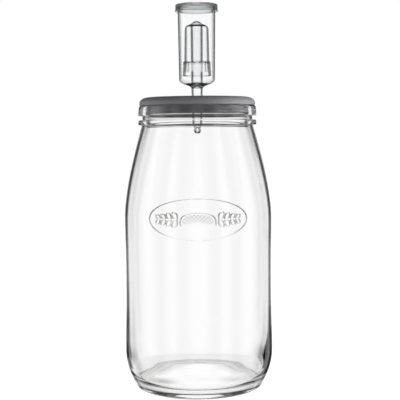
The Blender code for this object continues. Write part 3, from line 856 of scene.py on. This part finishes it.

# %% [markdown]
# ## Finishes
#
# Clear glass has almost no colour of its own. What the eye reads as glass is the bent background,
# the thin reflections and a slight unevenness of the surface. So each clear material is a
# transmitting surface with its own index of refraction, a slow ripple as bump and a faint haze.
# Moulded plastic looks darker at its edges than such thin walls give, so painted shade darkens its
# colour where an upright face turns away from the eye. The ring that the jar stands on is stippled,
# and the cap is a little cloudy. The silicone is the one opaque finish: matt, with a very fine skin.

# %% Node helpers
def set_inputs(tree, node, inputs):
    """Gives a node its inputs by name or number: each is a value or the output of another node."""
    for name, value in inputs.items():
        if isinstance(value, bpy.types.NodeSocket):
            tree.links.new(value, node.inputs[name])
        else:
            node.inputs[name].default_value = value


def wired(tree, kind, inputs, output=0, **settings):
    """A new node with its settings and inputs; what comes back is one of its outputs."""
    node = tree.nodes.new(kind)
    for name, value in settings.items():
        setattr(node, name, value)
    set_inputs(tree, node, inputs)
    return node.outputs[output]


def math_node(tree, operation, *values):
    """A Math node with the values for its inputs."""
    return wired(tree, "ShaderNodeMath", dict(enumerate(values)), operation=operation)


def spread(tree, value, start, end, low, high, curve="SMOOTHSTEP"):
    """Runs from the low to the high number while the value goes from start to end."""
    inputs = {"Value": value, "From Min": start, "From Max": end, "To Min": low, "To Max": high}
    return wired(tree, "ShaderNodeMapRange", inputs, "Result", interpolation_type=curve)


def mixed(tree, share, first, second):
    """A number between two others, mixed by the share."""
    return wired(tree, "ShaderNodeMix", {"Factor": share, 2: first, 3: second})


def place(tree, space="Object"):
    """Where a point lies: in its piece, or as a direction in the world."""
    return wired(tree, "ShaderNodeTexCoord", {}, space)


def axis(tree, vector, name):
    """One of the three numbers of a vector."""
    return wired(tree, "ShaderNodeSeparateXYZ", {"Vector": vector}, name)


def ray(tree, name):
    """What the light path says about the ray."""
    return wired(tree, "ShaderNodeLightPath", {}, name)


def axis_distance(tree):
    """How far a point is from the upright axis: the length of its place without the height."""
    level = wired(tree, "ShaderNodeVectorMath", {0: place(tree), 1: (1, 1, 0)}, operation="MULTIPLY")
    return wired(tree, "ShaderNodeVectorMath", {0: level}, "Value", operation="LENGTH")


def noise(tree, scale, detail):
    """A noise pattern in object space, with the scale in cycles for each metre."""
    inputs = {"Vector": place(tree), "Scale": scale, "Detail": detail}
    return wired(tree, "ShaderNodeTexNoise", inputs, "Fac")


def bump(tree, pattern, strength, depth):
    """Turns a pattern into a bump of the given depth in metres."""
    inputs = {"Height": pattern, "Strength": strength, "Distance": depth}
    return wired(tree, "ShaderNodeBump", inputs, "Normal")


# %% The finishes
UPRIGHT_RANGE = (0.10, 0.38)
SMUDGE_SCALE = 60.0
# Grey of the painted shade on the plastic's turned-away edges.
EDGE_PAINTED_SHADE = 0.22
TUBE_REACH = 7.5 * MM
CLOUD_SCALE = 45.0
CLOUD_TONES = ((0.3, (0.125, 0.125, 0.130)), (0.75, (0.155, 0.155, 0.160)))
SKIN_SCALE = 2600.0
SKIN_ROUGHNESS = (0.48, 0.60)
SKIN_STRENGTH = 0.35
SKIN_DEPTH = 0.05 * MM
SILICONE_GLOSS = 0.4
STIPPLE_TOP = 0.8 * MM
STIPPLE_ROUGHNESS = 0.6


def facing_share(tree, start, end):
    """0 where the surface faces the eye, and 1 where it is turned away past the end value."""
    facing = wired(tree, "ShaderNodeLayerWeight", {}, "Facing")
    return spread(tree, facing, start, end, 0.0, 1.0)


def upright_share(tree):
    """1 on upright faces, falling to 0 where the surface slopes by more than about twenty degrees."""
    slope = math_node(tree, "ABSOLUTE", axis(tree, place(tree, "Normal"), "Z"))
    return spread(tree, slope, *UPRIGHT_RANGE, 1.0, 0.0, "LINEAR")


def new_material(name):
    """An empty node material, with its tree and its Principled shader."""
    material = bpy.data.materials.new(name)
    material.use_nodes = True
    return material, material.node_tree, material.node_tree.nodes["Principled BSDF"]


def clear_material(name, colour, ior, gloss, ripple_scale, ripple_depth, haze):
    """A transmitting finish with a slow ripple and a faint, uneven haze."""
    material, tree, shader = new_material(name)
    inputs = {
        "Base Color": (*colour, 1),
        "Transmission Weight": 1.0,
        "IOR": ior,
        "Specular Tint": (gloss, gloss, gloss, 1),
        "Roughness": spread(tree, noise(tree, SMUDGE_SCALE, detail=4), 0.0, 1.0, 0.0, haze, "LINEAR"),
        "Normal": bump(tree, noise(tree, ripple_scale, detail=1), 1.0, ripple_depth),
    }
    set_inputs(tree, shader, inputs)
    return material


def silicone_material(name):
    """Matt grey rubber: a cloudy tone, a fine skin and a soft sheen."""
    material, tree, shader = new_material(name)
    ramp = tree.nodes.new("ShaderNodeValToRGB")
    for stop, (position, tone) in zip(ramp.color_ramp.elements, CLOUD_TONES):
        stop.position = position
        stop.color = (*tone, 1)
    set_inputs(tree, ramp, {"Fac": noise(tree, CLOUD_SCALE, detail=4)})
    skin = noise(tree, SKIN_SCALE, detail=2)
    inputs = {
        "Base Color": ramp.outputs["Color"],
        "Roughness": spread(tree, skin, 0.0, 1.0, *SKIN_ROUGHNESS, "LINEAR"),
        "Specular IOR Level": SILICONE_GLOSS,
        "Normal": bump(tree, skin, SKIN_STRENGTH, SKIN_DEPTH),
    }
    set_inputs(tree, shader, inputs)
    return material


def stippled_foot(material):
    """Roughens the ring that the jar stands on, as the small knurls under a real jar do."""
    tree = material.node_tree
    shader = tree.nodes["Principled BSDF"]
    low = math_node(tree, "LESS_THAN", axis(tree, place(tree), "Z"), STIPPLE_TOP)
    plain = shader.inputs["Roughness"].links[0].from_socket
    set_inputs(tree, shader, {"Roughness": mixed(tree, low, plain, STIPPLE_ROUGHNESS)})


def styrene_material(name, colour, start, end, haze, edge=EDGE_PAINTED_SHADE, thin_part=None):
    """Clear moulded plastic with painted shade on its turned-away edges; the thin part has painted edges of
    its own.
    """
    ripple = {"ripple_scale": 60, "ripple_depth": 0.04 * MM}
    material = clear_material(name, colour, ior=1.57, gloss=0.25, haze=haze, **ripple)
    tree = material.node_tree
    share = facing_share(tree, start, end)
    if thin_part:
        radius, thin_start, thin_end = thin_part
        near_axis = math_node(tree, "LESS_THAN", axis_distance(tree), radius)
        share = mixed(tree, near_axis, share, facing_share(tree, thin_start, thin_end))
    share = math_node(tree, "MULTIPLY", share, upright_share(tree))
    # Painted shade: the colour runs to the edge grey where an upright face turns away from the eye.
    colours = {"Factor": share, 6: (*colour, 1), 7: (edge, edge, edge, 1)}
    painted_edge_shade = wired(tree, "ShaderNodeMix", colours, 2, data_type="RGBA")
    set_inputs(tree, tree.nodes["Principled BSDF"], {"Base Color": painted_edge_shade})
    return material


glass = clear_material(
    "clear_glass", (0.99, 0.99, 0.99), ior=1.52, gloss=0.4, ripple_scale=24, ripple_depth=0.12 * MM, haze=0.01
)
stippled_foot(glass)
styrene = styrene_material(
    "clear_styrene", (0.985, 0.987, 0.99), start=0.46, end=0.72, haze=0.03, thin_part=(TUBE_REACH, 0.2, 0.5)
)
float_styrene = styrene_material("clear_float", (0.98, 0.983, 0.985), start=0.38, end=0.65, haze=0.04)
cap_styrene = styrene_material("clear_cap", (0.77, 0.773, 0.775), start=0.05, end=0.60, haze=0.34, edge=0.07)
silicone = silicone_material("grey_silicone")
print("finishes of glass, styrene and silicone")

# %% Finish every piece
finish_piece(jar, "glass_jar", "jar", glass)
finish_piece(lid, "silicone_lid", "lid", silicone)
finish_piece(airlock, "airlock_body", "airlock", styrene)
finish_piece(bell, "airlock_float", "float", float_styrene)
finish_piece(cap, "airlock_cap", "cap", cap_styrene)

# %% [markdown]
# ## Floor, surroundings and light
#
# Clear glass on white needs dark edges, or it disappears. A photographer stands the jar before a
# bright wall and puts black cards to its left and right, out of the picture. Only rays that the
# glass bends far aside reach the cards, so just the outlines turn dark. Here the surroundings are
# a ring of panels, four wide and four narrow ones in turn, so that it works from the front, the
# sides, the back and halfway between them. The gaps' soft edges make the grey just inside each
# outline. A dark ceiling arches over every panel, and the steepest downward directions are dark
# too. The camera itself sees plain white.
#
# The lid is opaque, so what lights it are scattered rays. They get surroundings of their own: a
# faint even light and a soft box on either side, the right one the stronger.

# %% The surroundings
WIDE_PANELS = 4
WIDE_SLOPE = (1.629, -0.693)
NARROW_SLOPE = (-7.69, -6.28)
GAP_WAVE_RANGE = (-0.75, 0.75)
CEILING_TAPER = 0.54
CEILING_RANGE = (-0.09, 0.01)
TOP_LIGHT_RANGE = (0.80, 0.92)
GAP_BRIGHTNESS = 0.20
GAP_DARKNESS = 0.06
GAP_MIDDLE = -0.157
GAP_REACH = (0.050, 0.085)
CEILING_BRIGHTNESS = 0.16
LOW_RANGE = (-0.66, -0.50)
LOW_BRIGHTNESS = 0.14
SOFT_BOXES = ((88, 17.0), (-95, 6.0))
SOFT_BOX_EDGE = (0.80, 0.99)
SOFT_BOX_FOOT = (-0.60, -0.40)
SOFT_BOX_TOP = (0.25, 0.45)
AMBIENT = 0.05

world = bpy.data.worlds.new("light_tent")
bpy.context.scene.world = world
world.use_nodes = True
sky = world.node_tree
direction = place(sky, "Generated")
up = axis(sky, direction, "Z")

# The wave is 1 in the middle of a panel and -1 in a gap: two straight lines of the same cosine,
# one for the wide panels and a steeper one for the narrow, and the higher of the two counts.
azimuth = math_node(sky, "ARCTAN2", axis(sky, direction, "X"), axis(sky, direction, "Y"))
quarter = math_node(sky, "COSINE", math_node(sky, "MULTIPLY", azimuth, WIDE_PANELS))
wide_panels = math_node(sky, "MULTIPLY_ADD", quarter, *WIDE_SLOPE)
narrow_panels = math_node(sky, "MULTIPLY_ADD", quarter, *NARROW_SLOPE)
higher = math_node(sky, "MAXIMUM", wide_panels, narrow_panels)
wave = math_node(sky, "MINIMUM", math_node(sky, "MAXIMUM", higher, -1.0), 1.0)
gap_share = spread(sky, wave, *GAP_WAVE_RANGE, 1.0, 0.0)
gap_height = math_node(sky, "ABSOLUTE", math_node(sky, "SUBTRACT", up, GAP_MIDDLE))
gap_light = spread(sky, gap_height, *GAP_REACH, GAP_BRIGHTNESS, GAP_DARKNESS)
panels = math_node(sky, "MULTIPLY_ADD", gap_share, math_node(sky, "SUBTRACT", gap_light, 1.0), 1.0)
arch = math_node(sky, "MULTIPLY_ADD", wave, -CEILING_TAPER, up)
below_ceiling = spread(sky, arch, *CEILING_RANGE, 1.0, CEILING_BRIGHTNESS)
top_light = spread(sky, up, *TOP_LIGHT_RANGE, 0.0, 1.0)
above_table = spread(sky, up, *LOW_RANGE, LOW_BRIGHTNESS, 1.0)
open_wall = math_node(sky, "MINIMUM", math_node(sky, "MINIMUM", panels, below_ceiling), above_table)
tent = math_node(sky, "MAXIMUM", open_wall, top_light)
print("surroundings of", WIDE_PANELS, "wide and as many narrow panels")

# %% The soft boxes that only the matt lid sees
scattered = math_node(sky, "MINIMUM", ray(sky, "Diffuse Depth"), 1.0)
low_edge = spread(sky, up, *SOFT_BOX_FOOT, 0.0, 1.0)
high_edge = spread(sky, up, *SOFT_BOX_TOP, 1.0, 0.0)
height_share = math_node(sky, "MULTIPLY", low_edge, high_edge)
ambient = AMBIENT
for degrees, strength in SOFT_BOXES:
    turned = math_node(sky, "COSINE", math_node(sky, "SUBTRACT", azimuth, float(np.radians(degrees))))
    wide = math_node(sky, "MULTIPLY", spread(sky, turned, *SOFT_BOX_EDGE, 0.0, 1.0), height_share)
    ambient = math_node(sky, "MULTIPLY_ADD", wide, strength, ambient)
lit = math_node(sky, "MULTIPLY", scattered, ambient)
tent = math_node(sky, "MULTIPLY_ADD", tent, math_node(sky, "SUBTRACT", 1.0, scattered), lit)
brightness = math_node(sky, "MAXIMUM", tent, ray(sky, "Is Camera Ray"))
set_inputs(sky, sky.nodes["Background"], {"Color": (1, 1, 1, 1), "Strength": brightness})
print("soft boxes", len(SOFT_BOXES))

# %% [markdown]
# ## The floor
#
# The floor is pale and glows a little, so that it is as white as the background and keeps a soft
# shadow. Rays that come through glass see past it to the surroundings, apart from a pool of
# painted light under the jar, where the floor glows for them alone and keeps the thick heel clear.
# Two soft spots of painted shade in that glow show through the base as faint grey smudges.

# %% Build the floor
FLOOR_SIZE = 6.0
FLOOR_GLOW = 0.88
POOL_BRIGHTNESS = 1.05
POOL_EDGE = (40.0 * MM, 70.0 * MM)
POOL_RADIUS = 90.0 * MM
POOL_RIM_BRIGHTNESS = 0.9
# Painted shade: two soft dark spots in the floor's painted glow.
PAINTED_SHADE_SPOTS = ((-35.0 * MM, -12.0 * MM, 22.0 * MM, 0.45), (31.0 * MM, -4.0 * MM, 20.0 * MM, 0.65))
FLOOR_COLOUR = 0.5

bpy.ops.mesh.primitive_plane_add(size=FLOOR_SIZE, location=(0, 0, 0))
floor = bpy.context.object
floor.name = "floor"
floor_material = bpy.data.materials.new("pale_floor")
floor_material.use_nodes = True
tree = floor_material.node_tree
tree.nodes.remove(tree.nodes["Principled BSDF"])
paint = wired(tree, "ShaderNodeBsdfDiffuse", {"Color": (FLOOR_COLOUR, FLOOR_COLOUR, FLOOR_COLOUR, 1)})
glow = wired(tree, "ShaderNodeEmission", {"Strength": FLOOR_GLOW})
seen = wired(tree, "ShaderNodeAddShader", {0: paint, 1: glow})
clear = wired(tree, "ShaderNodeBsdfTransparent", {})
bent = ray(tree, "Is Transmission Ray")
through = math_node(tree, "MAXIMUM", ray(tree, "Is Glossy Ray"), bent)
table = wired(tree, "ShaderNodeMixShader", {"Fac": through, 1: seen, 2: clear})
# Painted light: a glowing pool under the jar that only rays through glass see, with two spots of painted
# shade in it.
apart = axis_distance(tree)
pool = spread(tree, apart, *POOL_EDGE, POOL_BRIGHTNESS, POOL_RIM_BRIGHTNESS)
for east, north, radius, share in PAINTED_SHADE_SPOTS:
    ends = {0: place(tree), 1: (east, north, 0)}
    spot = wired(tree, "ShaderNodeVectorMath", ends, "Value", operation="DISTANCE")
    pool = math_node(tree, "MULTIPLY", pool, spread(tree, spot, 0.0, radius, share, 1.0))
bright = wired(tree, "ShaderNodeEmission", {"Strength": pool})
in_pool = math_node(tree, "MULTIPLY", math_node(tree, "LESS_THAN", apart, POOL_RADIUS), bent)
table = wired(tree, "ShaderNodeMixShader", {"Fac": in_pool, 1: table, 2: bright})
set_inputs(tree, tree.nodes["Material Output"], {"Surface": table})
floor.data.materials.append(floor_material)
print("floor of", FLOOR_SIZE, "m")

# %% The lamp
LAMP_PLACE = (1.1, -0.25, 0.30)
LAMP_SIZE = 0.6
LAMP_WATTS = 8.0
TARGET_HEIGHT = 0.25

lamp_data = bpy.data.lights.new("side_lamp", "AREA")
lamp_data.size = LAMP_SIZE
lamp_data.energy = LAMP_WATTS
lamp = bpy.data.objects.new("side_lamp", lamp_data)
bpy.context.scene.collection.objects.link(lamp)
lamp.location = LAMP_PLACE
aim = Vector((0, 0, TARGET_HEIGHT)) - lamp.location
lamp.rotation_euler = aim.to_track_quat("-Z", "Y").to_euler()
lamp.visible_transmission = False
lamp.visible_glossy = False
print("side lamp of", LAMP_WATTS, "watts")

# %% The view transform
bpy.context.scene.view_settings.view_transform = "Standard"
